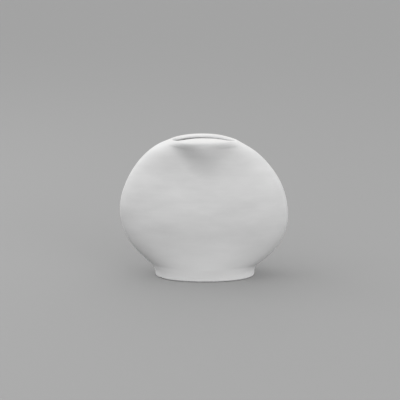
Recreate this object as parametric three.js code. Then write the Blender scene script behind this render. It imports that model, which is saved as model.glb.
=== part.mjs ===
// Disc vase: a flat, round, hand-built flower vase with its mouth squeezed to a slit.
//
// Two dished walls are luted together along the side seams. A rolled lip finishes their top edge, and an oval
// foot ring with the floor let into it carries them. Coils pressed in from inside back the seams and floor.
// Millimetres and degrees, +Z up, front towards -Y. The origin is on the table, midway between the widest
// points.
import * as THREE from 'three';

// Heights shared by every outline
const HEIGHT = 144.5; // table to the crest of the lip at its middle
const FOOT_HEIGHT = 13; // table to the joint between the foot ring and the walls
const FOOT_EDGE = 1.5; // rounding of the foot's bottom edge

// Outlines to the left, to the right and to the front, which the back repeats.
// A reach is measured from the upright axis. An angle is the outline's lean out from upright, so a shoulder
// that runs in towards the mouth has a negative one. A hold is the length over which the outline keeps a
// direction. The lip rolls out and tucks in from its crest, and is widest a drop below it.
const LEFT = {
  footReach: 49.8,
  footHold: 4.5,
  waistReach: 54.1,
  waistAngle: 48,
  waistHoldBelow: 3,
  waistHoldAbove: 18.6,
  bellyReach: 85,
  bellyHeight: 68.5,
  bellyHoldBelow: 28,
  bellyHoldAbove: 29.3,
  mouthReach: 40,
  mouthAngle: -70.4,
  mouthHold: 23.5,
  lipLength: 9,
  lipRoll: 2,
  lipTuck: 2.2,
  lipDrop: 2,
  crestDrop: 2.8,
};
const RIGHT = {
  footReach: 51.5,
  footHold: 4.5,
  waistReach: 55.9,
  waistAngle: 57.5,
  waistHoldBelow: 3.5,
  waistHoldAbove: 18.9,
  bellyReach: 85,
  bellyHeight: 61.3,
  bellyHoldBelow: 19.3,
  bellyHoldAbove: 38.5,
  mouthReach: 39,
  mouthAngle: -61.2,
  mouthHold: 24.8,
  lipLength: 8.5,
  lipRoll: 2,
  lipTuck: 2.2,
  lipDrop: 2,
  crestDrop: 4,
};
const FRONT = {
  footReach: 25.3,
  footHold: 4.5,
  waistReach: 25.6,
  waistAngle: 1,
  waistHoldBelow: 5,
  waistHoldAbove: 12,
  bellyReach: 26.3,
  bellyHeight: 50,
  bellyHoldBelow: 12,
  bellyHoldAbove: 34,
  mouthReach: 11.6,
  mouthAngle: -8,
  mouthHold: 26,
  lipLength: 9,
  lipRoll: 1,
  lipTuck: 2.6,
  lipDrop: 4.5,
  crestDrop: 0,
};

// How each level ring runs between those outlines
const OVAL_EXPONENT = 2.25; // fullness of the belly's and the foot's oval, 2 being an ellipse
const SLIT_EXPONENT = 3.2; // fullness of the squeezed mouth, which flattens its long faces
const PINCH = 0.25; // share of the mouth's depth pressed in on its faces
const PINCH_SKEW = 0.25; // where, as a share of the way from the middle to the right end
const ARCH = 2.2; // how late the lip falls from its middle to its ends

// The faces swell out under the lip, which leaves a V-shaped hollow below it
const SWELL = 9;
const SWELL_REACH = 42; // half the length over which the lip is swelled out
const SWELL_FOOT = 7; // the same at the lower end of the hollow
const HOLLOW_LENGTH = 46; // lip's crest to the lower end of the hollow
const HOLLOW_SKEW = 6; // how far that end lies right of the middle

// Clay thicknesses and the slip between luted pieces
const WALL = 4.5;
const RIM_WALL = 4;
const FOOT_WALL = 5; // foot ring beside the floor
const FOOT_BAND = 9; // standing face of the foot ring, with the ledge for the floor on top of it
const LEDGE_HEIGHT = 4;
const FLOOR = 5;
const SEAM_COIL_RADIUS = 3;
const FLOOR_COIL_RADIUS = 2.5;
const SLIP = 0.3;

// Faceting
const RING_STEPS = 60;
const LOWER_STEPS = 7;
const UPPER_STEPS = 12;
const FOOT_STEPS = 4;
const RISE_STEPS = 2;
const ROLL_STEPS = 4;
const TUCK_STEPS = 3;
const FALL_STEPS = 3;
const COIL_SIDES = 8;

// Unit direction in an outline's plane, leaning out from upright
function heading(angle) {
  const lean = THREE.MathUtils.degToRad(angle);
  return new THREE.Vector2(Math.sin(lean), Math.cos(lean));
}

// Direction out of the clay for an outline that runs up the wall
function outward(direction) {
  return new THREE.Vector2(direction.y, -direction.x);
}

function moved(point, direction, distance) {
  return point.clone().addScaledVector(direction, distance);
}

// Curve that leaves one point and arrives at another at given angles, holding each for a length
function span(start, startAngle, startHold, end, endAngle, endHold) {
  const first = moved(start, heading(startAngle), startHold);
  const second = moved(end, heading(endAngle), -endHold);
  return new THREE.CubicBezierCurve(start, first, second, end);
}

// Lip section on a joint point: runs up the outside, rolls over the crest on two quarter ovals, one outside
// and one inside, and comes down the inside
function lipSection(joint, side) {
  const up = heading(side.mouthAngle);
  const out = outward(up);
  const points = [];
  const add = (rise, inset) => points.push(moved(moved(joint, up, rise), out, -inset));
  const shoulder = side.lipLength - side.lipDrop;
  for (let step = 0; step < RISE_STEPS; step += 1) {
    add((shoulder * step) / RISE_STEPS, 0);
  }
  for (let step = 0; step <= ROLL_STEPS; step += 1) {
    const turn = (Math.PI * step) / (2 * ROLL_STEPS);
    add(shoulder + side.lipDrop * Math.sin(turn), side.lipRoll * (1 - Math.cos(turn)));
  }
  const tuckFoot = side.lipLength - side.lipTuck;
  for (let step = 1; step <= TUCK_STEPS; step += 1) {
    const turn = (Math.PI * step) / (2 * TUCK_STEPS);
    add(tuckFoot + side.lipTuck * Math.cos(turn), side.lipRoll + side.lipTuck * Math.sin(turn));
  }
  for (let step = 1; step <= FALL_STEPS; step += 1) {
    const fall = step / FALL_STEPS;
    const thinned = THREE.MathUtils.smoothstep(fall, 0, 1);
    add(tuckFoot * (1 - fall), THREE.MathUtils.lerp(side.lipRoll + side.lipTuck, RIM_WALL, thinned));
  }
  return points;
}

// Top edge of a wall, set so that the lip on it just reaches its crest
function mouthEdge(side) {
  const lipOnGround = lipSection(new THREE.Vector2(side.mouthReach, 0), side);
  const crest = Math.max(...lipOnGround.map((point) => point.y));
  return new THREE.Vector2(side.mouthReach, HEIGHT - side.crestDrop - crest);
}

// One direction's outline as three curves: up the foot, out to the belly and in to the mouth
function outline(side) {
  const toe = new THREE.Vector2(side.footReach, FOOT_EDGE);
  const waist = new THREE.Vector2(side.waistReach, FOOT_HEIGHT);
  const belly = new THREE.Vector2(side.bellyReach, side.bellyHeight);
  const mouth = mouthEdge(side);
  return {
    side,
    mouth,
    foot: span(toe, 0, side.footHold, waist, side.waistAngle, side.waistHoldBelow),
    lower: span(waist, side.waistAngle, side.waistHoldAbove, belly, 0, side.bellyHoldBelow),
    upper: span(belly, 0, side.bellyHoldAbove, mouth, side.mouthAngle, side.mouthHold),
  };
}

const outlines = { left: outline(LEFT), right: outline(RIGHT), front: outline(FRONT) };

// Stations up the walls, from the waist to the mouth
const stations = [];
for (let step = 0; step <= LOWER_STEPS; step += 1) {
  stations.push({ curve: 'lower', share: step / LOWER_STEPS });
}
for (let step = 1; step <= UPPER_STEPS; step += 1) {
  stations.push({ curve: 'upper', share: step / UPPER_STEPS });
}

function outerPoint(drawn, station) {
  return drawn[station.curve].getPoint(station.share);
}

// How far the body is squeezed at a station: 0 below the hollow, 1 at the mouth
const HOLLOW_FOOT = HEIGHT - HOLLOW_LENGTH;

function squeeze(station) {
  const { front } = outlines;
  const share = (outerPoint(front, station).y - HOLLOW_FOOT) / (front.mouth.y - HOLLOW_FOOT);
  return THREE.MathUtils.clamp(share, 0, 1);
}

// How far the faces swell out at a height, up to the lip's widest point
function swellAt(height) {
  const widest = HEIGHT - FRONT.lipDrop;
  const share = THREE.MathUtils.clamp((height - HOLLOW_FOOT) / (widest - HOLLOW_FOOT), 0, 1);
  return SWELL * share ** 3 * (4 - 3 * share);
}

// Inner face of the clay. At the waist it is cut level, flush with the joint.
function innerPoint(drawn, station) {
  if (station === stations[0]) {
    const { waistReach, waistAngle } = drawn.side;
    return new THREE.Vector2(waistReach - WALL / heading(waistAngle).y, FOOT_HEIGHT);
  }
  const out = outward(drawn[station.curve].getTangent(station.share));
  const thickness = THREE.MathUtils.lerp(WALL, RIM_WALL, squeeze(station));
  return moved(outerPoint(drawn, station), out, -thickness);
}

// Rings round the vase, one for each point of a section that is drawn in all three outlines
function ringsThrough(sectionOf, squeezes = [], swells = []) {
  const left = sectionOf(outlines.left);
  const right = sectionOf(outlines.right);
  const front = sectionOf(outlines.front);
  return front.map((point, index) => ({
    left: left[index],
    right: right[index],
    front: point,
    squeeze: squeezes[index] ?? 0,
    swell: swells[index] ?? 0,
  }));
}

// Point on a ring. From the middle of a face to its ends the depth falls off as a full oval, less the pinch,
// and the height goes from the front outline's to the side outline's. The swell fades out along the face.
function ringPoint(ring, angle) {
  const across = Math.cos(angle);
  const spread = Math.abs(across);
  const side = across < 0 ? ring.left : ring.right;
  const x = side.x * across;
  const swellLength = THREE.MathUtils.lerp(SWELL_FOOT, SWELL_REACH, ring.squeeze);
  const offMiddle = Math.min(Math.abs(x - HOLLOW_SKEW * (1 - ring.squeeze)) / swellLength, 1);
  const reach = ring.front.x + ring.swell * (1 - offMiddle ** 2) ** 2;
  const eased = THREE.MathUtils.smoothstep(ring.squeeze, 0, 1);
  const fullness = THREE.MathUtils.lerp(OVAL_EXPONENT, SLIT_EXPONENT, eased);
  const offPinch = (share) => (share - PINCH_SKEW) / (1 + PINCH_SKEW);
  const press = (share) => 1 - PINCH * eased * (1 - offPinch(share) ** 2) ** 2;
  const depth = (reach * Math.sqrt(1 - spread ** fullness) * press(across)) / press(0);
  const facing = Math.sin(angle) < 0 ? -1 : 1;
  const height = THREE.MathUtils.lerp(ring.front.y, side.y, spread ** ARCH);
  return new THREE.Vector3(x, facing * depth, height);
}

// Closed solid through a row of matching closed sections. A row that isn't a ring gets a flat cap at each
// end.
function loft(sections, isRing) {
  const size = sections[0].length;
  const corner = (section, index) => (section % sections.length) * size + (index % size);
  const faces = [];
  const quad = (a, b, c, d) => faces.push(a, b, c, a, c, d);
  const last = sections.length - 1;
  for (let section = 0; section < (isRing ? sections.length : last); section += 1) {
    for (let index = 0; index < size; index += 1) {
      const next = section + 1;
      quad(corner(section, index), corner(next, index), corner(next, index + 1), corner(section, index + 1));
    }
  }
  for (let index = 0; !isRing && index < size / 2 - 1; index += 1) {
    const far = size - 1 - index;
    quad(corner(0, index), corner(0, index + 1), corner(0, far - 1), corner(0, far));
    quad(corner(last, far), corner(last, far - 1), corner(last, index + 1), corner(last, index));
  }
  const positions = sections.flat().flatMap((point) => point.toArray());
  const geometry = new THREE.BufferGeometry();
  geometry.setAttribute('position', new THREE.Float32BufferAttribute(positions, 3));
  geometry.setIndex(faces);
  geometry.computeVertexNormals();
  return geometry;
}

// Solid all the way round, from its rings
function ringSolid(rings) {
  const sections = [];
  for (let step = 0; step < RING_STEPS; step += 1) {
    const angle = (2 * Math.PI * step) / RING_STEPS;
    sections.push(rings.map((ring) => ringPoint(ring, angle)));
  }
  return loft(sections, true);
}

// Body walls: each half runs between the seams, with half the slip left along them
function wallGeometry(facing) {
  const sectionOf = (drawn) => [
    ...stations.map((station) => outerPoint(drawn, station)),
    ...stations.map((station) => innerPoint(drawn, station)).reverse(),
  ];
  const upAndDown = [...stations, ...stations.slice().reverse()];
  const swells = upAndDown.map((station) => swellAt(outerPoint(outlines.front, station).y));
  const rings = ringsThrough(sectionOf, upAndDown.map(squeeze), swells);
  const start = facing < 0 ? Math.PI : 0;
  const sections = [];
  for (let step = 0; step <= RING_STEPS / 2; step += 1) {
    const angle = start + (2 * Math.PI * step) / RING_STEPS;
    const section = rings.map((ring) => ringPoint(ring, angle));
    section.forEach((point) => {
      point.y = facing * Math.max(facing * point.y, SLIP / 2);
    });
    sections.push(section);
  }
  return loft(sections, false);
}

// Rolled lip, luted on the walls' top edge. It is swelled out at its widest point and not at all on its
// crest, and its inside widens again to meet the walls.
function rimGeometry() {
  const sectionOf = (drawn) => {
    const joint = moved(drawn.mouth, heading(drawn.side.mouthAngle), SLIP);
    return lipSection(joint, { ...drawn.side, lipLength: drawn.side.lipLength - SLIP });
  };
  const front = sectionOf(outlines.front);
  const swells = front.slice(0, RISE_STEPS).map((point) => swellAt(point.y));
  for (let step = 0; step <= ROLL_STEPS; step += 1) {
    swells.push(SWELL * Math.cos((Math.PI * step) / (2 * ROLL_STEPS)));
  }
  for (let step = 1; step <= TUCK_STEPS; step += 1) {
    swells.push(0);
  }
  for (let step = 1; step <= FALL_STEPS; step += 1) {
    swells.push(swellAt(front[0].y) * THREE.MathUtils.smoothstep(step / FALL_STEPS, 0, 1));
  }
  return ringSolid(ringsThrough(sectionOf, front.map(() => 1), swells));
}

// Inside of the foot ring beside the floor
function rebateReach(side) {
  return side.footReach - FOOT_WALL;
}

// Foot ring: round bottom edge, waisted outside, rebated inside over the standing band
function footGeometry() {
  const sectionOf = ({ side, foot }) => {
    const turn = Math.PI / 4;
    const edgeCentre = new THREE.Vector2(side.footReach - FOOT_EDGE, FOOT_EDGE);
    const points = [
      new THREE.Vector2(edgeCentre.x, 0),
      moved(edgeCentre, new THREE.Vector2(Math.sin(turn), -Math.cos(turn)), FOOT_EDGE),
    ];
    for (let step = 0; step < FOOT_STEPS; step += 1) {
      points.push(foot.getPoint(step / FOOT_STEPS));
    }
    const waist = new THREE.Vector2(side.waistReach, FOOT_HEIGHT);
    const lean = heading(side.waistAngle);
    points.push(moved(waist, lean, -SLIP / lean.y));
    points.push(new THREE.Vector2(rebateReach(side), FOOT_HEIGHT - SLIP));
    points.push(new THREE.Vector2(rebateReach(side), LEDGE_HEIGHT));
    points.push(new THREE.Vector2(side.footReach - FOOT_BAND, LEDGE_HEIGHT));
    points.push(new THREE.Vector2(side.footReach - FOOT_BAND, 0));
    return points;
  };
  return ringSolid(ringsThrough(sectionOf));
}

// Floor: an oval slab that drops into the foot ring's rebate
const FLOOR_BOTTOM = LEDGE_HEIGHT + SLIP;

function floorGeometry() {
  const sectionOf = ({ side }) => [new THREE.Vector2(rebateReach(side) - SLIP, 0)];
  const [edge] = ringsThrough(sectionOf);
  const points = [];
  for (let step = 0; step < RING_STEPS; step += 1) {
    const point = ringPoint(edge, (2 * Math.PI * step) / RING_STEPS);
    points.push(new THREE.Vector2(point.x, point.y));
  }
  return new THREE.ExtrudeGeometry(new THREE.Shape(points), { depth: FLOOR, bevelEnabled: false });
}

// Coil in the corner between the floor and the foot ring
function floorCoilGeometry() {
  const sectionOf = ({ side }) => {
    const inset = SLIP + FLOOR_COIL_RADIUS;
    const centre = new THREE.Vector2(rebateReach(side) - inset, FLOOR_BOTTOM + FLOOR + inset);
    const points = [];
    for (let step = 0; step < COIL_SIDES; step += 1) {
      const turn = (2 * Math.PI * (step + 0.5)) / COIL_SIDES;
      points.push(moved(centre, new THREE.Vector2(Math.cos(turn), Math.sin(turn)), FLOOR_COIL_RADIUS));
    }
    return points;
  };
  return ringSolid(ringsThrough(sectionOf));
}

// Coil along a side seam, pressed against the inner face from above the floor to below the hollow
function seamCoilGeometry(drawn, sign) {
  const sections = [];
  for (const station of stations.slice(1).filter((place) => squeeze(place) === 0)) {
    const along = drawn[station.curve].getTangent(station.share);
    const out = outward(along);
    const centre = moved(innerPoint(drawn, station), out, -SLIP - SEAM_COIL_RADIUS);
    const section = [];
    for (let step = 0; step < COIL_SIDES; step += 1) {
      const turn = (2 * Math.PI * step) / COIL_SIDES;
      const place = moved(centre, out, SEAM_COIL_RADIUS * Math.cos(turn));
      section.push(new THREE.Vector3(sign * place.x, -sign * SEAM_COIL_RADIUS * Math.sin(turn), place.y));
    }
    sections.push(section);
  }
  return loft(sections, false);
}

// Finishes: the white satin glaze, and the bare clay of the recessed floor's underside
function glaze() {
  return new THREE.MeshStandardMaterial({ color: '#e6e4df', roughness: 0.5, metalness: 0 });
}

function bareClay() {
  return new THREE.MeshStandardMaterial({ color: '#d8cdbd', roughness: 0.9, metalness: 0 });
}

function piece(name, geometry, material) {
  const mesh = new THREE.Mesh(geometry, material);
  mesh.name = name;
  return mesh;
}

const vase = new THREE.Group();
vase.add(piece('front_wall', wallGeometry(-1), glaze()));
vase.add(piece('back_wall', wallGeometry(1), glaze()));
vase.add(piece('rim', rimGeometry(), glaze()));
vase.add(piece('foot_ring', footGeometry(), glaze()));
const floor = piece('base_slab', floorGeometry(), bareClay());
floor.position.z = FLOOR_BOTTOM;
vase.add(floor);
vase.add(piece('floor_coil', floorCoilGeometry(), glaze()));
vase.add(piece('left_seam_coil', seamCoilGeometry(outlines.left, -1), glaze()));
vase.add(piece('right_seam_coil', seamCoilGeometry(outlines.right, 1), glaze()));

export default vase;
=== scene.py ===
import bpy
import numpy as np
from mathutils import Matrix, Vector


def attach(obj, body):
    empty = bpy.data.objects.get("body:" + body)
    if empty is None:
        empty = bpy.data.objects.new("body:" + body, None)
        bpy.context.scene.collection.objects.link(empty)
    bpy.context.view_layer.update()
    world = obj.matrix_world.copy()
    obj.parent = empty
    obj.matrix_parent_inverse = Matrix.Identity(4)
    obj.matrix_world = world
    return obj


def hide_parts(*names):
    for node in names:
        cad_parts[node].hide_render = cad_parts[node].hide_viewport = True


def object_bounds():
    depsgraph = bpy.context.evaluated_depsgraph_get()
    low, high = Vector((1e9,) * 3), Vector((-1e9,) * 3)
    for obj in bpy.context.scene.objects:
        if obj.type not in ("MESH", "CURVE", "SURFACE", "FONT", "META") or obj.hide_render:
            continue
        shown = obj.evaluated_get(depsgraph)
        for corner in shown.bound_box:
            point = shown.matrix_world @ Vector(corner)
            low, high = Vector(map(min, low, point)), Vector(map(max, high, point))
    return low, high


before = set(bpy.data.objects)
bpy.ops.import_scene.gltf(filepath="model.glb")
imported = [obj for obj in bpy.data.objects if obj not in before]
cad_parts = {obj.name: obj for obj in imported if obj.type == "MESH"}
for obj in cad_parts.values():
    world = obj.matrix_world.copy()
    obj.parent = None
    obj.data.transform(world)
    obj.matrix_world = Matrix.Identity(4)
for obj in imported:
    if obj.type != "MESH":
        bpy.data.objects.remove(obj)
cad_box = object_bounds()

# Foot ring: an oval collar of white stoneware, coiled and luted under the body, that the vase stands on.
# The glaze runs down its outside and into the recess, and is wiped off the standing face before firing.
MM = 0.001  # sizes are in millimetres, and the meshes are in metres
TURN = np.linspace(0, 2 * np.pi, 288, endpoint=False)  # directions round the vase, from its right by the back

# An outline's sizes are given to the left, to the right and to the front, which the back repeats.
# A lean is the outline's angle out from upright in degrees; a hold is the length over which it keeps a lean.
UPRIGHT = np.zeros(3)  # no lean
FOOT_REACH = np.array([49.8, 51.5, 25.3])
FOOT_HOLD = np.array([4.5, 4.5, 4.5])
WAIST_REACH = np.array([54.1, 55.9, 25.6])
WAIST_LEAN = np.array([48, 57.5, 1])
WAIST_HOLD_BELOW = np.array([3, 3.5, 5])
FOOT_HEIGHT = 13  # standing face to the joint with the walls
FOOT_EDGE = 1.5  # rounding of the bottom edge
FOOT_WALL = 5  # ring beside the floor
FOOT_BAND = 9  # standing face
LEDGE_HEIGHT = 4  # standing face to the ledge that carries the floor
BAND_EDGE = 0.8  # rounding of the standing face's inner edge
OVAL = 2.25  # fullness of the foot's and the belly's level section, 2 being an ellipse
ARCH = 2.2  # how late a level section goes over from the front's height to the side's
EDGE_ROWS = 8  # rows of points along each rounded edge
FOOT_ROWS = 28  # rows up the outside
GLAZED, BARE = 0, 1  # the foot ring's material slots


def place(reach, height):
    """Points in the three outlines' planes, from a reach and a height each."""
    reach, height = np.broadcast_arrays(np.asarray(reach, float), np.asarray(height, float))
    return np.stack([reach, height], -1)


def heading(lean):
    """Unit directions in the outlines' planes: the sine and the cosine of the lean."""
    return np.stack([np.sin(np.radians(lean)), np.cos(np.radians(lean))], -1)


def span(start, start_lean, start_hold, end, end_lean, end_hold, share):
    """Cubic curve that leaves one point and arrives at another on given leans.

    Its two middle control points lie a hold along each lean, and the four are weighted by share.
    """
    first = start + heading(start_lean) * np.asarray(start_hold)[:, None]
    second = end - heading(end_lean) * np.asarray(end_hold)[:, None]
    along = share[:, None]
    start, first, second, end = (point[:, None] for point in (start, first, second, end))
    rest = 1 - along
    return rest**3 * start + 3 * rest**2 * along * first + 3 * rest * along**2 * second + along**3 * end


def smooth(value):
    """Eases from 0 to 1 with level ends: 3 v^2 - 2 v^3."""
    value = np.clip(value, 0, 1)
    return value**2 * (3 - 2 * value)


def rings(outline, fullness=OVAL, swell=0, pressed=1):
    """Level rings through the left, right and front outlines, as a (rows, directions, 3) grid.

    Spread is the distance from the middle of a face, as a share of the way to its end. The depth is that of
    the front outline and its swell, times the root of 1 - spread^fullness, times the share that pressing
    leaves. The height goes from the front outline's to the side's by spread^ARCH.
    """
    left, right, front = (side[:, None] for side in outline)
    across = np.cos(TURN)
    spread = np.abs(across)
    side = np.where((across < 0)[:, None], left, right)
    depth = (front[..., 0] + swell) * np.sqrt(1 - spread**fullness) * pressed
    height = front[..., 1] + (side[..., 1] - front[..., 1]) * spread**ARCH
    facing = np.where(np.sin(TURN) < 0, -1, 1)
    return np.stack([side[..., 0] * across, facing * depth, height], -1)


def normals(grid):
    """Normals of a grid: the cross product of its step round the vase and its step along the section."""
    round_step = np.roll(grid, -1, axis=1) - np.roll(grid, 1, axis=1)
    along_step = np.gradient(grid, axis=0, edge_order=min(2, len(grid) - 1))
    normal = np.cross(round_step, along_step)
    return normal / np.linalg.norm(normal, axis=-1, keepdims=True)


def wave(grid, direction, length, start):
    """Sine wave through space, with its crests a length apart along a direction."""
    along = grid @ np.array(direction) / np.linalg.norm(direction)
    return np.sin(2 * np.pi * (along / length + start))


HAND_HEIGHT = 0.13  # of each wave that the hand leaves
RUBBED_HEIGHT = 12  # it fades out below this height, where the foot is rubbed flat


def hand_worked(grid):
    """The unevenness that scraping and sponging leave: three crossing waves added along the normal."""
    sideways = wave(grid, (1, 0, 0.7), length=70, start=0.06)
    upward = wave(grid, (-0.4, 0.8, 1), length=42, start=0.3)
    slanting = wave(grid, (1, 0.8, -0.6), length=32, start=0.65)
    slanting = slanting * wave(grid, (0, 0, 1), length=130, start=0.13)
    fade = np.clip(grid[..., 2] / RUBBED_HEIGHT, 0, 1) ** 2
    height = HAND_HEIGHT * fade * (sideways + upward + slanting)
    return grid + height[..., None] * normals(grid)


def between(start_row, end_row, rows=3):
    """Flat panel from one row of points straight to another."""
    share = np.linspace(0, 1, rows)[:, None, None]
    return start_row + (end_row - start_row) * share


def build(name, points, faces, corner_normals=None):
    """Smooth-shaded mesh object from points in millimetres, with corner normals where they are given."""
    mesh = bpy.data.meshes.new(name)
    mesh.from_pydata(points.reshape(-1, 3) * MM, [], faces)
    mesh.polygons.foreach_set("use_smooth", np.ones(len(mesh.polygons), bool))
    if corner_normals is not None:
        mesh.normals_split_custom_set(corner_normals.reshape(-1, 3))
    mesh.update()
    piece = bpy.data.objects.new(name, mesh)
    bpy.context.scene.collection.objects.link(piece)
    return piece


def quads(corners):
    """Faces between neighbouring rows and columns of a grid of corner numbers."""
    return np.stack([corners[:-1, :-1], corners[:-1, 1:], corners[1:, 1:], corners[1:, :-1]], -1)


def ring_piece(name, panels):
    """Ring-shaped solid whose section is a closed chain of panels, each starting where the last one ends.

    Every panel is shaded by its own normals, so it is smooth inside and crisp at its edges.
    """
    points = np.concatenate([panel[:-1] for panel in panels])
    rows, columns = points.shape[:2]
    corners = np.pad(np.arange(rows * columns).reshape(rows, columns), ((0, 1), (0, 1)), mode="wrap")
    low = np.concatenate([normals(panel)[:-1] for panel in panels])
    high = np.concatenate([normals(panel)[1:] for panel in panels])
    low_next, high_next = (np.roll(part, -1, axis=1) for part in (low, high))
    return build(name, points, quads(corners).reshape(-1, 4), np.stack([low, low_next, high_next, high], 2))


def paint_rows(piece, panels, slots):
    """Gives each panel of a ring piece the material slot listed for it."""
    columns = panels[0].shape[1]
    index = np.concatenate([np.full((len(panel) - 1) * columns, slot) for panel, slot in zip(panels, slots)])
    piece.data.polygons.foreach_set("material_index", index.astype(np.int32))


def linear(hex_colour):
    """Linear colour of an sRGB hex value."""
    srgb = np.array([int(hex_colour[i : i + 2], 16) for i in (1, 3, 5)]) / 255
    value = np.where(srgb <= 0.04045, srgb / 12.92, ((srgb + 0.055) / 1.055) ** 2.4)
    return (*value, 1.0)


def add_node(tree, kind, inputs, **settings):
    """Adds a node, sets its properties, and sets or links each named input."""
    node = tree.nodes.new(kind)
    for name, value in settings.items():
        setattr(node, name, value)
    for name, value in inputs.items():
        if isinstance(value, bpy.types.NodeSocket):
            tree.links.new(value, node.inputs[name])
        else:
            node.inputs[name].default_value = value
    return node


# A Mix node's colour sockets go by number, because its other kinds of socket have the same names.
COLOUR_A, COLOUR_B, MIXED_COLOUR = 6, 7, 2


def satin_white_glaze():
    """Satin white stoneware glaze, dipped: a soft broad sheen over a white of slightly uneven thickness.

    It clouds in patches that run round the vase, is painted whiter towards the foot as painted light on its
    lower part, thins and warms on the crest of the lip, and has a fine eggshell skin over the lines that the
    damp sponge left in the clay.
    """
    cloud_length = 34 * MM
    cloud_flatness = 3  # how many times longer than high a cloud is
    painted_light_height = 60 * MM  # below this height the glaze is painted whiter, as painted light on the lower part
    painted_light_whiteness = 0.65  # share of pure white that the painted light reaches at the bottom
    mottle_size = 9 * MM
    smoothest, roughest = 0.4, 0.54  # roughness of the mottled satin
    line_length = 22 * MM
    line_flatness = 9  # how many times longer than high a sponge line is
    line_depth = 0.14 * MM
    skin_grain = 2.4 * MM  # about three times the real one, so that it shows
    skin_depth = 0.05 * MM
    material = bpy.data.materials.new("satin_white_glaze")
    material.use_nodes = True
    tree = material.node_tree
    shader = tree.nodes["Principled BSDF"]
    where = add_node(tree, "ShaderNodeTexCoord", {}).outputs["Object"]
    flattened = {"Vector": where, "Scale": (1, 1, cloud_flatness)}
    lying = add_node(tree, "ShaderNodeMapping", flattened).outputs["Vector"]
    cloud = add_node(tree, "ShaderNodeTexNoise", {"Vector": lying, "Scale": 1 / cloud_length, "Detail": 3})
    shades = {"Factor": cloud.outputs["Fac"], COLOUR_A: linear("#dcdcdc"), COLOUR_B: linear("#f2f2f2")}
    tone = add_node(tree, "ShaderNodeMix", shades, data_type="RGBA")
    # Painted light: below a height of 60 mm the glaze's colour is mixed towards pure white, lighter towards
    # the foot.
    height = add_node(tree, "ShaderNodeSeparateXYZ", {"Vector": where}).outputs["Z"]
    run = {"Value": height, "From Max": painted_light_height, "To Min": painted_light_whiteness, "To Max": 0}
    painted_light_share = add_node(tree, "ShaderNodeMapRange", run, interpolation_type="SMOOTHSTEP").outputs["Result"]
    painted_light_mix = {"Factor": painted_light_share, COLOUR_A: tone.outputs[MIXED_COLOUR], COLOUR_B: linear("#ffffff")}
    tone = add_node(tree, "ShaderNodeMix", painted_light_mix, data_type="RGBA")
    thin = add_node(tree, "ShaderNodeAttribute", {}, attribute_name="thin_glaze").outputs["Fac"]
    thinned = {"Factor": thin, COLOUR_A: tone.outputs[MIXED_COLOUR], COLOUR_B: linear("#e2dbce")}
    colour = add_node(tree, "ShaderNodeMix", thinned, data_type="RGBA")
    tree.links.new(colour.outputs[MIXED_COLOUR], shader.inputs["Base Color"])
    mottle = add_node(tree, "ShaderNodeTexNoise", {"Vector": where, "Scale": 1 / mottle_size, "Detail": 2})
    satin = {"Value": mottle.outputs["Fac"], "To Min": smoothest, "To Max": roughest}
    rough = add_node(tree, "ShaderNodeMapRange", satin)
    tree.links.new(rough.outputs["Result"], shader.inputs["Roughness"])
    flattened = {"Vector": where, "Scale": (1, 1, line_flatness)}
    drawn = add_node(tree, "ShaderNodeMapping", flattened).outputs["Vector"]
    lines = add_node(tree, "ShaderNodeTexNoise", {"Vector": drawn, "Scale": 1 / line_length, "Detail": 2})
    relief = {"Height": lines.outputs["Fac"], "Strength": 0.5, "Distance": line_depth}
    sponged = add_node(tree, "ShaderNodeBump", relief)
    skin = add_node(tree, "ShaderNodeTexNoise", {"Vector": where, "Scale": 1 / skin_grain, "Detail": 2})
    relief = {"Height": skin.outputs["Fac"], "Strength": 0.25, "Distance": skin_depth}
    eggshell = add_node(tree, "ShaderNodeBump", {"Normal": sponged.outputs["Normal"], **relief})
    tree.links.new(eggshell.outputs["Normal"], shader.inputs["Normal"])
    shader.inputs["IOR"].default_value = 1.5
    return material


def bare_stoneware():
    """Bare white stoneware where the glaze is wiped off: a dry, warm off-white with fine grit."""
    grit_size = 1.2 * MM  # about three times the real one, so that it shows
    grit_depth = 0.1 * MM
    material = bpy.data.materials.new("bare_stoneware")
    material.use_nodes = True
    tree = material.node_tree
    shader = tree.nodes["Principled BSDF"]
    where = add_node(tree, "ShaderNodeTexCoord", {}).outputs["Object"]
    grit = add_node(tree, "ShaderNodeTexNoise", {"Vector": where, "Scale": 1 / grit_size, "Detail": 4})
    shades = {"Factor": grit.outputs["Fac"], COLOUR_A: linear("#cbbca6"), COLOUR_B: linear("#ddd1bf")}
    tone = add_node(tree, "ShaderNodeMix", shades, data_type="RGBA")
    tree.links.new(tone.outputs[MIXED_COLOUR], shader.inputs["Base Color"])
    relief = {"Height": grit.outputs["Fac"], "Strength": 0.5, "Distance": grit_depth}
    gritty = add_node(tree, "ShaderNodeBump", relief)
    tree.links.new(gritty.outputs["Normal"], shader.inputs["Normal"])
    shader.inputs["Roughness"].default_value = 0.9
    return material


glaze = satin_white_glaze()
clay = bare_stoneware()

toe = place(FOOT_REACH, FOOT_EDGE)
waist = place(WAIST_REACH, FOOT_HEIGHT)
quarter = np.linspace(0, np.pi / 2, EDGE_ROWS)
edge_round = place(
    (FOOT_REACH - FOOT_EDGE)[:, None] + FOOT_EDGE * np.sin(quarter), FOOT_EDGE * (1 - np.cos(quarter))
)
foot_share = np.linspace(0, 1, FOOT_ROWS)
foot_rise = span(toe, UPRIGHT, FOOT_HOLD, waist, WAIST_LEAN, WAIST_HOLD_BELOW, foot_share)
foot_outside = hand_worked(rings(np.concatenate([edge_round, foot_rise[:, 1:]], axis=1)))
band_round = place(
    (FOOT_REACH - FOOT_BAND)[:, None] + BAND_EDGE * (1 - np.cos(quarter)), BAND_EDGE * (1 - np.sin(quarter))
)
rebate = place((FOOT_REACH - FOOT_WALL)[:, None], np.array([FOOT_HEIGHT, LEDGE_HEIGHT]))
rebate_rows = rings(rebate)
band_top = place(FOOT_REACH - FOOT_BAND, LEDGE_HEIGHT)[:, None]
band_rows = rings(np.concatenate([band_top, band_round], axis=1))
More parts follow.
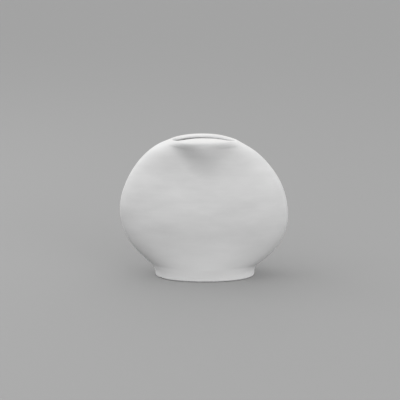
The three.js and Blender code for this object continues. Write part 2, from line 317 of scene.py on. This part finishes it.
foot_panels = [
    foot_outside,
    between(foot_outside[-1], rebate_rows[0]),  # joint with the walls
    between(rebate_rows[0], rebate_rows[1]),  # rebate round the floor
    between(rebate_rows[1], band_rows[0]),  # ledge under the floor
    band_rows,
    between(band_rows[-1], foot_outside[0]),  # standing face
]
foot = ring_piece("glazed_foot_ring", foot_panels)
foot.data.materials.append(glaze)
foot.data.materials.append(clay)
paint_rows(foot, foot_panels, [GLAZED] * 5 + [BARE])
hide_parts("foot_ring")
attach(foot, "root")

# Floor: an oval slab of the same clay, rolled out, cut to the foot ring's rebate and luted down on its ledge.
# Its top is glazed with the inside of the vase; its underside is left bare, higher than the standing face.
SLIP = 0.3  # the joint's slip round the slab
SLAB = 5  # thickness
SLAB_EDGE = 0.6  # softened cut edge
SLAB_ROWS = 12  # rings of points from its edge to its middle
CRISP_TURN = 30  # degrees that an edge turns by to stay crisp


def capped_piece(name, grid, first_point, last_point):
    """Closed solid from rows of rings, with its first and its last row run in to a point each."""
    rows, columns = grid.shape[:2]
    count = rows * columns
    corners = np.pad(np.arange(count).reshape(rows, columns), ((0, 0), (0, 1)), mode="wrap")
    sides = quads(corners).reshape(-1, 4)
    first_fan = np.stack([corners[0, 1:], corners[0, :-1], np.full(columns, count)], -1)
    last_fan = np.stack([corners[-1, :-1], corners[-1, 1:], np.full(columns, count + 1)], -1)
    points = np.concatenate([grid.reshape(-1, 3), [first_point, last_point]])
    return build(name, points, sides.tolist() + first_fan.tolist() + last_fan.tolist())


slab_reach = FOOT_REACH - FOOT_WALL - SLIP
slab_bottom = LEDGE_HEIGHT + SLIP
slab_inset = np.array([SLAB_EDGE, 0, 0, SLAB_EDGE])
slab_rise = np.array([0, SLAB_EDGE, SLAB - SLAB_EDGE, SLAB])
slab_edge = rings(place(slab_reach[:, None] - slab_inset, slab_bottom + slab_rise))
under_middle, top_middle = slab_edge[[0, -1]].mean(axis=1)
inward = np.linspace(1, 0, SLAB_ROWS)[1:-1, None, None]
slab_under = under_middle + (slab_edge[0] - under_middle) * inward[::-1]
slab_top = top_middle + (slab_edge[-1] - top_middle) * inward
slab_rows = np.concatenate([slab_under, slab_edge, slab_top])
slab = capped_piece("floor_slab", slab_rows, under_middle, top_middle)
slab.data.set_sharp_from_angle(angle=np.radians(CRISP_TURN))
slab.data.materials.append(clay)
slab.data.materials.append(glaze)
slab_facing = np.empty(3 * len(slab.data.polygons))
slab.data.polygons.foreach_get("normal", slab_facing)
facing_up = slab_facing[2::3] > 0.5  # these faces take the second material, the glaze
slab.data.polygons.foreach_set("material_index", facing_up.astype(np.int32))
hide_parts("base_slab")
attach(slab, "root")

# Floor coil: a thin roll of soft clay pressed into the corner between the floor and the foot ring.
# It backs the joint from inside and is glazed over with the rest of the inside.
FLOOR_COIL_RADIUS = 2.5
COIL_SIDES = 24  # facets round a coil
coil_turn = np.linspace(0, 2 * np.pi, COIL_SIDES + 1)
coil_inset = SLIP + FLOOR_COIL_RADIUS
floor_coil_section = place(
    (FOOT_REACH - FOOT_WALL - coil_inset)[:, None] + FLOOR_COIL_RADIUS * np.cos(coil_turn),
    slab_bottom + SLAB + coil_inset + FLOOR_COIL_RADIUS * np.sin(coil_turn),
)
floor_coil = ring_piece("pressed_floor_coil", [rings(floor_coil_section)])
floor_coil.data.materials.append(glaze)
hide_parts("floor_coil")
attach(floor_coil, "root")

# Walls: two dished halves of white clay, pressed over a hump and luted edge to edge along the side seams.
# The mouth end is squeezed while soft, which flattens the faces under the lip into a V-shaped hollow.
HEIGHT = cad_box[1][2] / MM  # of the solids, as is the belly's reach
BELLY_REACH = np.array([-cad_box[0][0], cad_box[1][0], cad_box[1][1]]) / MM
BELLY_HEIGHT = np.array([68.5, 61.3, 50])
WAIST_HOLD_ABOVE = np.array([18.6, 18.9, 12])
BELLY_HOLD_BELOW = np.array([28, 19.3, 12])
BELLY_HOLD_ABOVE = np.array([29.3, 38.5, 34])
MOUTH_REACH = np.array([40, 39, 11.6])
MOUTH_LEAN = np.array([-70.4, -61.2, -8])
MOUTH_HOLD = np.array([23.5, 24.8, 26])
SLIT = 3.2  # fullness of the squeezed mouth's level section
PINCH = 0.25  # share of the mouth's depth pressed in on its faces
PINCH_SKEW = 0.25  # where it is deepest, as a share of the way from the middle to the right end
SWELL = 9  # how far the lip is rolled out in front of the squeezed faces
SWELL_REACH = 42  # half the length over which it is
HOLLOW_LENGTH = 46  # how far the hollow under it runs down from the lip's crest
HOLLOW_TIP = 7  # half the hollow's width at its lower end
HOLLOW_SKEW = 6  # how far that end lies right of the middle
CREASE = 1.3  # how deep the thumbs press in under the lip, towards both its ends
CREASE_DROP = 6  # height in which it drops in
CREASE_FADE = 20  # height in which it runs out below that
WALL = 4.5  # thickness of the body
RIM_WALL = 4  # thickness at the joint with the rim
LIP_LENGTH = np.array([9, 8.5, 9])
LIP_ROLL = np.array([2, 2, 1])  # how far the lip rolls over outwards from its crest, before it swells
LIP_TUCK = np.array([2.2, 2.2, 2.6])  # how far it rolls over inwards
LIP_DROP = np.array([2, 2, 4.5])  # crest to the lip's widest point
CREST_DROP = np.array([2.8, 4, 0])  # from the vase's highest point to the crest
HOLLOW_FOOT = HEIGHT - HOLLOW_LENGTH  # height of the hollow's lower end
LIP_WIDEST = HEIGHT - LIP_DROP[2]  # height at which the lip is widest in front
LOWER_ROWS = 44  # rows of points from the foot to the belly
UPPER_ROWS = 64  # and from the belly to the rim


def squeezed_rings(outline, squeeze, swell, crease):
    """Level rings of the part that is squeezed, with a squeeze, a swell and a crease for each row.

    The section goes over from the oval to the slit. The pinch takes (1 - p^2)^2 of itself from the depth, p
    being the distance from its deepest point, and the middle is held. The swell adds (1 - u^2)^2 of itself,
    u being the distance from its middle over its half length, which narrows downwards to a V. The crease
    takes 27/4 u^2 (1 - u^2)^2 of itself away, which is all of it between the middle and each end.
    """
    squeeze, swell, crease = (rows[:, None] for rows in (squeeze, swell, crease))
    across = np.cos(TURN)
    side_reach = np.where(across < 0, outline[0, :, :1], outline[1, :, :1])
    half_length = HOLLOW_TIP + (SWELL_REACH - HOLLOW_TIP) * squeeze
    along = np.abs(side_reach * across - HOLLOW_SKEW * (1 - squeeze)) / half_length
    rolled = np.clip(1 - along**2, 0, 1) ** 2
    thumbed = 27 / 4 * along**2 * rolled
    eased = smooth(squeeze)

    def pressed(share):
        off_pinch = (share - PINCH_SKEW) / (1 + PINCH_SKEW)
        return 1 - PINCH * eased * (1 - off_pinch**2) ** 2

    fullness = OVAL + (SLIT - OVAL) * eased
    return rings(outline, fullness, swell * rolled - crease * thumbed, pressed(across) / pressed(0))


def outward(direction):
    """Directions out of the clay, for an outline that runs up the wall: the heading turned a quarter."""
    return np.stack([direction[..., 1], -direction[..., 0]], -1)


# Rows of the lip's section: shares of the way up outside, turns over the crest, shares of the way down.
LIP_RISE = np.linspace(0, 1, 16)[:-1, None]
LIP_TURN = np.linspace(0, np.pi / 2, 24)[:, None]
LIP_FALL = np.linspace(1, 0, 12)[1:, None]


def lip_section(joint):
    """Lip on the walls' top edge.

    It runs up the outside, rolls over its crest on two quarter ovals, one outside and one inside, and runs
    down the inside.
    """
    up = heading(MOUTH_LEAN)[:, None]
    out = outward(up)
    length, roll, tuck, drop = (size[:, None, None] for size in (LIP_LENGTH, LIP_ROLL, LIP_TUCK, LIP_DROP))
    outside = (length - drop) * LIP_RISE * up
    over = (length - drop + drop * np.sin(LIP_TURN)) * up + roll * (np.cos(LIP_TURN) - 1) * out
    under = (length - tuck + tuck * np.cos(LIP_TURN[1:])) * up - (roll + tuck * np.sin(LIP_TURN[1:])) * out
    inside = (length - tuck) * LIP_FALL * up - (RIM_WALL + (roll + tuck - RIM_WALL) * smooth(LIP_FALL)) * out
    return joint[:, None] + np.concatenate([outside, over, under, inside], axis=1)


def swell_below(height):
    """Swell of the faces under the lip's widest point: 4 s^3 - 3 s^4 of it, s being the share of the rise."""
    share = np.clip((height - HOLLOW_FOOT) / (LIP_WIDEST - HOLLOW_FOOT), 0, 1)
    return SWELL * share**3 * (4 - 3 * share)


def crease_below(height):
    """Crease under the lip: it drops in just below the lip's widest point and runs out slowly downwards."""
    below = LIP_WIDEST - height
    return CREASE * smooth(below / CREASE_DROP) * (1 - smooth((below - CREASE_DROP) / CREASE_FADE))


lip_on_ground = lip_section(place(MOUTH_REACH, 0))
mouth = place(MOUTH_REACH, HEIGHT - CREST_DROP - lip_on_ground[..., 1].max(axis=1))
belly = place(BELLY_REACH, BELLY_HEIGHT)
lower_share = np.linspace(0, 1, LOWER_ROWS)
upper_share = np.linspace(0, 1, UPPER_ROWS)
lower = span(waist, WAIST_LEAN, WAIST_HOLD_ABOVE, belly, UPRIGHT, BELLY_HOLD_BELOW, lower_share)
upper = span(belly, UPRIGHT, BELLY_HOLD_ABOVE, mouth, MOUTH_LEAN, MOUTH_HOLD, upper_share)
wall_outline = np.concatenate([lower, upper[:, 1:]], axis=1)
wall_squeeze = np.clip((wall_outline[2, :, 1] - HOLLOW_FOOT) / (mouth[2, 1] - HOLLOW_FOOT), 0, 1)

wall_heading = np.gradient(wall_outline, axis=1)
wall_heading = wall_heading / np.linalg.norm(wall_heading, axis=-1, keepdims=True)
thickness = WALL + (RIM_WALL - WALL) * wall_squeeze
inner_outline = wall_outline - outward(wall_heading) * thickness[:, None]
inner_outline[:, 0] = place(WAIST_REACH - WALL / np.cos(np.radians(WAIST_LEAN)), FOOT_HEIGHT)

wall_swell = swell_below(wall_outline[2, :, 1])
wall_crease = crease_below(wall_outline[2, :, 1])
wall_outside = hand_worked(squeezed_rings(wall_outline, wall_squeeze, wall_swell, wall_crease))
uncreased = np.zeros_like(wall_crease)
wall_inside = hand_worked(squeezed_rings(inner_outline, wall_squeeze, wall_swell, uncreased))


def wall_piece(name, columns):
    """Half of the body.

    Its outer rows up and its inner rows down make a closed section at each column, and the first and the last
    column are capped flat in the seam.
    """
    points = np.concatenate([wall_outside, wall_inside[::-1]])[:, columns]
    top_edge = between(wall_outside[-1], wall_inside[-1], rows=2)
    bottom_edge = between(wall_inside[0], wall_outside[0], rows=2)
    panels = [wall_outside, top_edge, wall_inside[::-1], bottom_edge]
    low = np.concatenate([normals(panel)[:-1] for panel in panels])[:, columns]
    high = np.concatenate([normals(panel)[1:] for panel in panels])[:, columns]
    rows, count = points.shape[:2]
    corners = np.arange(rows * count).reshape(rows, count)
    shell = quads(np.concatenate([corners, corners[:1]])).reshape(-1, 4)
    shell_normals = np.stack([low[:, :-1], low[:, 1:], high[:, 1:], high[:, :-1]], 2).reshape(-1, 4, 3)
    half = rows // 2
    start = quads(np.stack([corners[:half, 0], corners[: half - 1 : -1, 0]], -1)).reshape(-1, 4)[:, ::-1]
    end = quads(np.stack([corners[:half, -1], corners[: half - 1 : -1, -1]], -1)).reshape(-1, 4)
    caps = np.concatenate([start, end])
    facing = -np.sign(points[half // 2, count // 2, 1])  # the caps look towards the other half
    cap_normals = np.tile([0, facing, 0], (len(caps), 4, 1))
    return build(name, points, np.concatenate([shell, caps]), np.concatenate([shell_normals, cap_normals]))


half_turn = len(TURN) // 2
back_columns = np.arange(half_turn + 1)
front_columns = (back_columns + half_turn) % len(TURN)
for name, columns, node in (
    ("front_half", front_columns, "front_wall"),
    ("back_half", back_columns, "back_wall"),
):
    wall = wall_piece(name, columns)
    wall.data.materials.append(glaze)
    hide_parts(node)
    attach(wall, "root")

# Seam coils: rolls of soft clay pressed along both side seams from inside, below the hollow.
# They back the joint of the two halves and are glazed over.
SEAM_COIL_RADIUS = 3
COIL_BLUNTNESS = 20  # how near its ends the coil keeps its full radius


def seam_coil(name, side, sign):
    """Tube along the inner face of one side outline, from above the floor to below the hollow.

    Its radius is drawn in to a point at both ends by the root of 1 - e^bluntness, e running from -1 to 1.
    """
    above_floor = wall_outline[side, :, 1] > FOOT_HEIGHT + 2 * SEAM_COIL_RADIUS
    rows = np.flatnonzero(above_floor & (wall_squeeze == 0))
    out = outward(wall_heading[side, rows])
    path = inner_outline[side, rows] - out * (SLIP + SEAM_COIL_RADIUS)
    ends = np.linspace(-1, 1, len(rows))
    radius = SEAM_COIL_RADIUS * np.sqrt(1 - ends**COIL_BLUNTNESS)
    turn = np.linspace(0, 2 * np.pi, COIL_SIDES, endpoint=False)
    swing = radius[:, None] * np.cos(turn)
    flat = path[:, None] + swing[..., None] * out[:, None]
    grid = np.stack([sign * flat[..., 0], sign * radius[:, None] * np.sin(turn), flat[..., 1]], -1)
    return capped_piece(name, grid[1:-1], grid[0, 0], grid[-1, 0])


for name, side, sign, node in (
    ("pressed_left_coil", 0, -1, "left_seam_coil"),
    ("pressed_right_coil", 1, 1, "right_seam_coil"),
):
    coil = seam_coil(name, side, sign)
    coil.data.materials.append(glaze)
    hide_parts(node)
    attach(coil, "root")

# Rim: a coil of clay luted on the walls' top edge and rolled into a rounded lip round the slit mouth.
# The glaze thins where it runs off the crest.
CREST_THINNING = 0.12  # share of the glaze's white that is lost there
CREST_FOCUS = 4  # how closely the thinning keeps to the crest

lip_outline = lip_section(mouth)
swell_up = swell_below(lip_outline[2, : len(LIP_RISE), 1])
swell_over = SWELL * np.cos(LIP_TURN[:, 0])
swell_under = np.zeros(len(LIP_TURN) - 1)
swell_down = wall_swell[-1] * (1 - smooth(LIP_FALL[:, 0]))
lip_swell = np.concatenate([swell_up, swell_over, swell_under, swell_down])
lip_crease = np.pad(crease_below(lip_outline[2, : len(LIP_RISE), 1]), (0, len(lip_swell) - len(LIP_RISE)))
lip = hand_worked(squeezed_rings(lip_outline, np.ones(len(lip_swell)), lip_swell, lip_crease))
rim_joint = between(lip[-1], lip[0])
rim = ring_piece("rolled_lip", [lip, rim_joint])
crest = np.clip(normals(lip)[..., 2], 0, 1) ** CREST_FOCUS
thinned = np.concatenate([crest[:-1], np.zeros_like(rim_joint[:-1, :, 2])])
thin_glaze = rim.data.attributes.new("thin_glaze", "FLOAT", "POINT")
thin_glaze.data.foreach_set("value", CREST_THINNING * thinned.ravel())
rim.data.materials.append(glaze)
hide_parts("rim")
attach(rim, "root")

# Studio: a plain pale floor under an even white dome of light, with two softboxes to draw the vase's edges,
# and the camera at the photograph's height, looking slightly down.
FLOOR_SHOWN = "#a2a2a2"  # the floor as it is seen
FLOOR_BOUNCE = "#505050"  # the floor as the light that it throws back up sees it
FLOOR_SIZE = 14  # metres, as all the studio's lengths are
DOME_STRENGTH = 0.93
VASE_MIDDLE = np.array([0, 0, 0.08])


def pale_floor_paint():
    """Matt pale floor paint, even and dull.

    The camera and the glaze's sheen see its pale colour. The light that it throws back up is that of a greyer
    floor, so that the vase's undersides keep their shade.
    """
    material = bpy.data.materials.new("matt_floor_paint")
    material.use_nodes = True
    tree = material.node_tree
    shader = tree.nodes["Principled BSDF"]
    rays = add_node(tree, "ShaderNodeLightPath", {}).outputs
    mirrored = {0: rays["Is Glossy Ray"], 1: rays["Is Transmission Ray"]}
    mirrored = add_node(tree, "ShaderNodeMath", mirrored, operation="MAXIMUM")
    seen = {0: rays["Is Camera Ray"], 1: mirrored.outputs["Value"]}
    seen = add_node(tree, "ShaderNodeMath", seen, operation="MAXIMUM")
    shades = {"Factor": seen.outputs["Value"], COLOUR_A: linear(FLOOR_BOUNCE), COLOUR_B: linear(FLOOR_SHOWN)}
    colour = add_node(tree, "ShaderNodeMix", shades, data_type="RGBA")
    tree.links.new(colour.outputs[MIXED_COLOUR], shader.inputs["Base Color"])
    shader.inputs["Roughness"].default_value = 0.85
    shader.inputs["Specular IOR Level"].default_value = 0.2
    return material


floor_mesh = bpy.data.meshes.new("studio_floor")
floor_corners = FLOOR_SIZE / 2 * np.array([[-1, -1, 0], [1, -1, 0], [1, 1, 0], [-1, 1, 0]])
floor_mesh.from_pydata(floor_corners, [], [(0, 1, 2, 3)])
floor_mesh.materials.append(pale_floor_paint())
studio_floor = bpy.data.objects.new("studio_floor", floor_mesh)
bpy.context.scene.collection.objects.link(studio_floor)

world = bpy.data.worlds.new("studio_air")
world.use_nodes = True
dome = world.node_tree.nodes["Background"].inputs
dome["Color"].default_value = linear("#ffffff")
dome["Strength"].default_value = DOME_STRENGTH
bpy.context.scene.world = world


def soft_light(name, position, size, power):
    """Square soft light of a power in watts, turned so that it faces the vase's middle."""
    lamp = bpy.data.lights.new(name, "AREA")
    lamp.size = size
    lamp.energy = power
    light = bpy.data.objects.new(name, lamp)
    aim = VASE_MIDDLE - position
    light.location = position
    light.rotation_euler = (np.arctan2(np.hypot(aim[0], aim[1]), -aim[2]), 0, np.arctan2(-aim[0], aim[1]))
    bpy.context.scene.collection.objects.link(light)


soft_light("left_softbox", position=(-0.9, 0.1, 0.95), size=1.0, power=3.6)
soft_light("right_softbox", position=(1.15, -1.15, 0.5), size=0.9, power=3.8)

CAMERA_DISTANCE = 1.0577
CAMERA_RISE = 15.5  # degrees above level
AIM = np.array([-0.0041, 0, 0.0789])
SENSOR = 36.0  # millimetres
FRAME_PIXELS = 400
FOCAL_PIXELS = 1050  # focal length in pixels of the frame

camera_data = bpy.data.cameras.new("camera")
camera_data.sensor_width = SENSOR
camera_data.lens = SENSOR * FOCAL_PIXELS / FRAME_PIXELS
camera = bpy.data.objects.new("camera", camera_data)
rise = np.radians(CAMERA_RISE)
camera.location = AIM + CAMERA_DISTANCE * np.array([0, -np.cos(rise), np.sin(rise)])
camera.rotation_euler = (np.pi / 2 - rise, 0, 0)
bpy.context.scene.collection.objects.link(camera)
bpy.context.scene.camera = camera
bpy.context.scene.view_settings.view_transform = "Standard"
